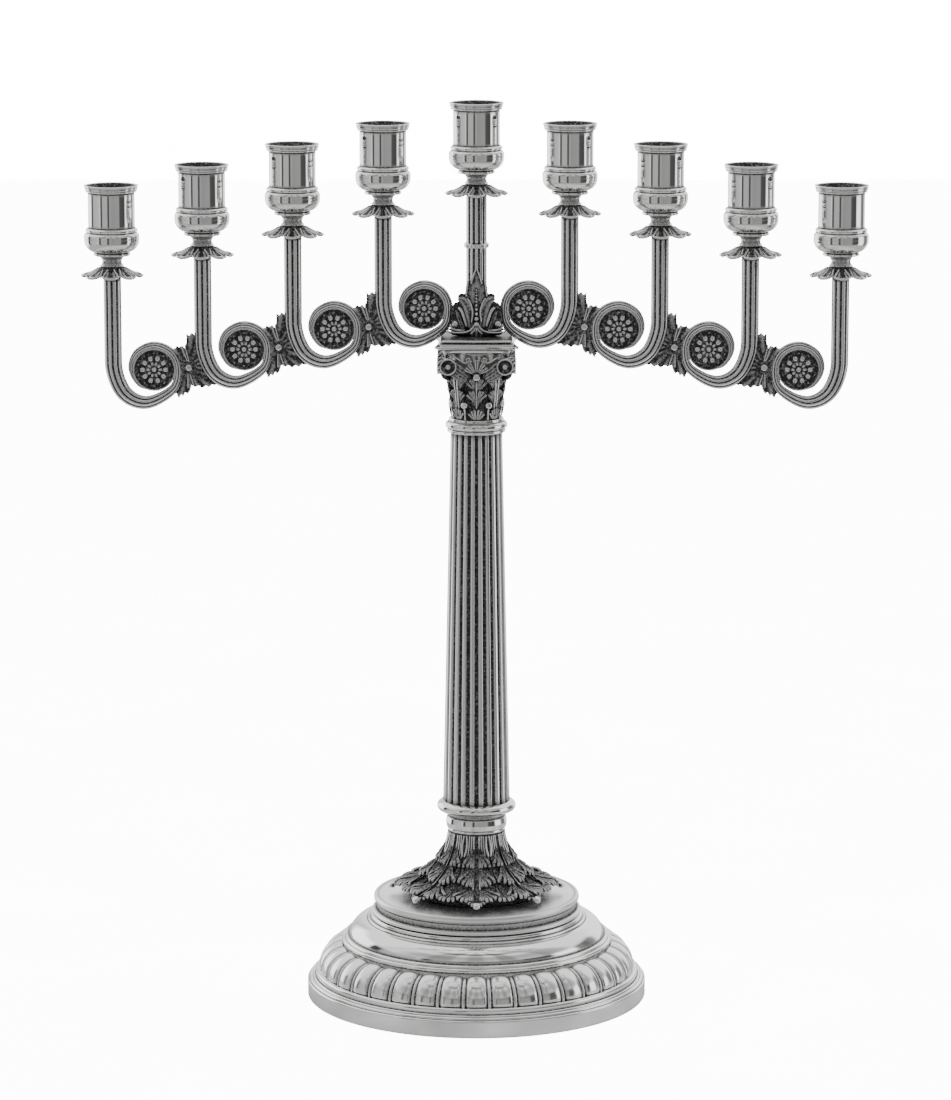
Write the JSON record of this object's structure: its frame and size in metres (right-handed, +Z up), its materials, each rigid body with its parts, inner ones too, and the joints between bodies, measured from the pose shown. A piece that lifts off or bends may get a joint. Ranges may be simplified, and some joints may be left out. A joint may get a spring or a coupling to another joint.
{
  "type": "menorah",
  "caption": "Column candelabrum on a stepped round foot, its lift-off frame of scroll arms carrying urn-shaped candle sockets over leafy drip pans in a row, the middle light highest.",
  "frame": {"origin": "centre of the foot's underside", "axes": "+Z up along the column; the arms spread along X; the front faces -Y"},
  "size_m": [0.4068, 0.178, 0.47],
  "materials": {
    "polished_silver": "polished sterling silver with fine handling marks",
    "reeded_silver": "polished sterling silver with darkened grooves",
    "carved_silver": "cast and chased sterling silver, high points polished and recesses oxidised nearly black",
    "fastener_steel": "plain steel"
  },
  "bodies": {
    "foot_and_column": {"foot_rim": "polished_silver", "gadroon_band": "carved_silver", "base_dome": "polished_silver", "drum_plate": "polished_silver", "acanthus_skirt": "carved_silver", "column_foot_collar": "polished_silver", "column_shaft": "reeded_silver", "column_neck_ring": "polished_silver", "capital_bell": "carved_silver", "capital_volutes": "carved_silver", "abacus": "polished_silver", "capital_sleeve": "polished_silver", "tie_rod": "fastener_steel", "tie_nut_lower": "fastener_steel", "tie_nut_upper": "fastener_steel", "tie_washer": "fastener_steel"},
    "arm_frame": {"plinth_block": "polished_silver", "plinth_spigot": "polished_silver", "lower_stem": "reeded_silver", "stem_ring": "reeded_silver", "centre_leaves": "carved_silver", "rosettes_left": "carved_silver", "rosettes_right": "carved_silver", "arm_left_1": "reeded_silver", "arm_left_2": "reeded_silver", "arm_left_3": "reeded_silver", "arm_left_4": "reeded_silver", "arm_right_1": "reeded_silver", "arm_right_2": "reeded_silver", "arm_right_3": "reeded_silver", "arm_right_4": "reeded_silver", "leaf_knot_left_2": "carved_silver", "leaf_knot_left_3": "carved_silver", "leaf_knot_left_4": "carved_silver", "leaf_knot_right_2": "carved_silver", "leaf_knot_right_3": "carved_silver", "leaf_knot_right_4": "carved_silver"},
    "upper_stem": {"shamash_stem": "reeded_silver"},
    "middle_light": {"shamash_socket": "polished_silver", "shamash_drip_pan": "carved_silver"},
    "light_left_1": {"socket_left_1": "polished_silver", "drip_pan_left_1": "carved_silver"},
    "light_left_2": {"socket_left_2": "polished_silver", "drip_pan_left_2": "carved_silver"},
    "light_left_3": {"socket_left_3": "polished_silver", "drip_pan_left_3": "carved_silver"},
    "light_left_4": {"socket_left_4": "polished_silver", "drip_pan_left_4": "carved_silver"},
    "light_right_1": {"socket_right_1": "polished_silver", "drip_pan_right_1": "carved_silver"},
    "light_right_2": {"socket_right_2": "polished_silver", "drip_pan_right_2": "carved_silver"},
    "light_right_3": {"socket_right_3": "polished_silver", "drip_pan_right_3": "carved_silver"},
    "light_right_4": {"socket_right_4": "polished_silver", "drip_pan_right_4": "carved_silver"}
  },
  "joints": [
    {"name": "arm_frame_lift", "type": "slide", "parent": "foot_and_column", "child": "arm_frame", "axis": [0, 0, 1], "range_m": [0, 0.02]},
    {"name": "upper_stem_lift", "type": "slide", "parent": "arm_frame", "child": "upper_stem", "axis": [0, 0, 1], "range_m": [0, 0.012]},
    {"name": "middle_light_lift", "type": "slide", "parent": "upper_stem", "child": "middle_light", "axis": [0, 0, 1], "range_m": [0, 0.014]},
    {"name": "light_left_1_lift", "type": "slide", "parent": "arm_frame", "child": "light_left_1", "axis": [0, 0, 1], "range_m": [0, 0.014]},
    {"name": "light_left_2_lift", "type": "slide", "parent": "arm_frame", "child": "light_left_2", "axis": [0, 0, 1], "range_m": [0, 0.014]},
    {"name": "light_left_3_lift", "type": "slide", "parent": "arm_frame", "child": "light_left_3", "axis": [0, 0, 1], "range_m": [0, 0.014]},
    {"name": "light_left_4_lift", "type": "slide", "parent": "arm_frame", "child": "light_left_4", "axis": [0, 0, 1], "range_m": [0, 0.014]},
    {"name": "light_right_1_lift", "type": "slide", "parent": "arm_frame", "child": "light_right_1", "axis": [0, 0, 1], "range_m": [0, 0.014]},
    {"name": "light_right_2_lift", "type": "slide", "parent": "arm_frame", "child": "light_right_2", "axis": [0, 0, 1], "range_m": [0, 0.014]},
    {"name": "light_right_3_lift", "type": "slide", "parent": "arm_frame", "child": "light_right_3", "axis": [0, 0, 1], "range_m": [0, 0.014]},
    {"name": "light_right_4_lift", "type": "slide", "parent": "arm_frame", "child": "light_right_4", "axis": [0, 0, 1], "range_m": [0, 0.014]}
  ]
}
